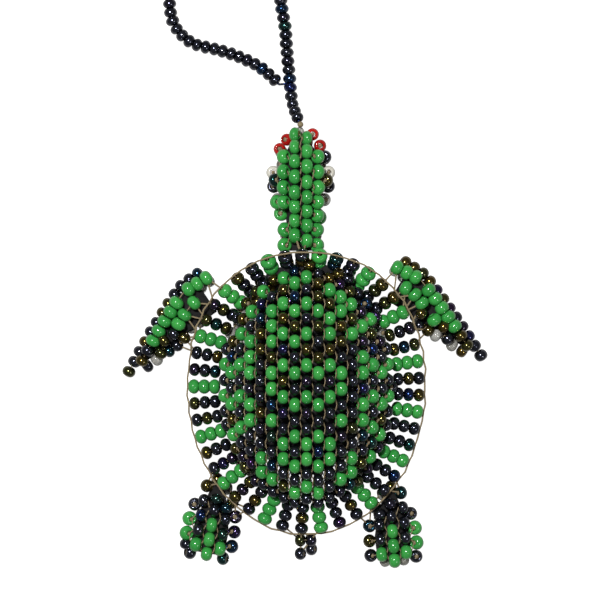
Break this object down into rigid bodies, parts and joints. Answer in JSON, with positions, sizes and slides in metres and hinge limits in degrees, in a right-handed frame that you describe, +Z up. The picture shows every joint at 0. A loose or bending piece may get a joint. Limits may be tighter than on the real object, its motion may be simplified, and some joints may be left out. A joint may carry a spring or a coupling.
{
  "type": "beaded sea turtle charm",
  "caption": "Sea turtle woven from round glass beads, with a fringed shell, flippers and tail on thread hinges, and a looped bead strap from its nose.",
  "frame": {"origin": "on the surface that the turtle lies on, under the middle of its own box without the strap", "axes": "+Y towards the head, +Z up out of its back, +X towards its right side"},
  "size_m": [0.0611, 0.1246, 0.0154],
  "materials": {
    "clear_glass": "clear glass",
    "thread": "waxed nylon thread",
    "white_glass": "opaque glossy glass",
    "dark_glass": "iridescent near-black glass",
    "green_glass": "opaque glossy glass",
    "stuffing": "dark wadding",
    "red_glass": "transparent red glass"
  },
  "bodies": {
    "shell": {"belly_clear_beads": "clear_glass", "edge_thread": "thread", "fringe_dark_beads": "dark_glass", "fringe_green_beads": "green_glass", "fringe_row_threads": "thread", "shell_dark_beads": "dark_glass", "shell_green_beads": "green_glass", "shell_stuffing": "stuffing"},
    "head": {"eye_white_beads": "white_glass", "head_clear_beads": "clear_glass", "head_dark_beads": "dark_glass", "head_green_beads": "green_glass", "head_stuffing": "stuffing", "mouth_red_beads": "red_glass"},
    "nose_knot": {"nose_knot": "thread"},
    "strap": {"strap_beads": "dark_glass", "strap_thread": "thread"},
    "right_front_flipper": {"right_front_flipper_clear_beads": "clear_glass", "right_front_flipper_dark_beads": "dark_glass", "right_front_flipper_green_beads": "green_glass"},
    "left_front_flipper": {"left_front_flipper_clear_beads": "clear_glass", "left_front_flipper_dark_beads": "dark_glass", "left_front_flipper_green_beads": "green_glass"},
    "right_rear_flipper": {"right_rear_flipper_clear_beads": "clear_glass", "right_rear_flipper_dark_beads": "dark_glass", "right_rear_flipper_green_beads": "green_glass"},
    "left_rear_flipper": {"left_rear_flipper_clear_beads": "clear_glass", "left_rear_flipper_dark_beads": "dark_glass", "left_rear_flipper_green_beads": "green_glass"},
    "tail": {"tail_beads": "dark_glass"}
  },
  "joints": [
    {"name": "head_nod", "type": "hinge", "parent": "shell", "child": "head", "pos_m": [-0.00045, 0.0159, 0.0034], "axis": [1, 0, 0], "range_deg": [0, 20]},
    {"name": "strap_level", "type": "hinge", "parent": "head", "child": "nose_knot", "pos_m": [-0.0005, 0.0375, 0.0043], "axis": [1, 0, 0], "range_deg": [-20, 0]},
    {"name": "strap_swing", "type": "hinge", "parent": "nose_knot", "child": "strap", "pos_m": [-0.0005, 0.0375, 0.0043], "axis": [0, 0, 1], "range_deg": [-25, 25]},
    {"name": "right_front_flap", "type": "hinge", "parent": "shell", "child": "right_front_flipper", "pos_m": [0.0146, 0.0086, 0.0052], "axis": [0.487, -0.8734, 0], "range_deg": [0, 8]},
    {"name": "left_front_flap", "type": "hinge", "parent": "shell", "child": "left_front_flipper", "pos_m": [-0.0153, 0.0076, 0.0052], "axis": [0.39, 0.9208, 0], "range_deg": [0, 20]},
    {"name": "right_rear_flap", "type": "hinge", "parent": "shell", "child": "right_rear_flipper", "pos_m": [0.0152, -0.023, 0.0042], "axis": [-1, 0, 0], "range_deg": [0, 10]},
    {"name": "left_rear_flap", "type": "hinge", "parent": "shell", "child": "left_rear_flipper", "pos_m": [-0.0146, -0.022, 0.0042], "axis": [-1, 0, 0], "range_deg": [0, 10]},
    {"name": "tail_flex", "type": "hinge", "parent": "shell", "child": "tail", "pos_m": [0.00035, -0.031, 0.0026], "axis": [-1, 0, 0], "range_deg": [0, 15]}
  ],
  "couplings": [
    {"joint": "strap_level", "follows": "head_nod", "ratio": -1}
  ]
}
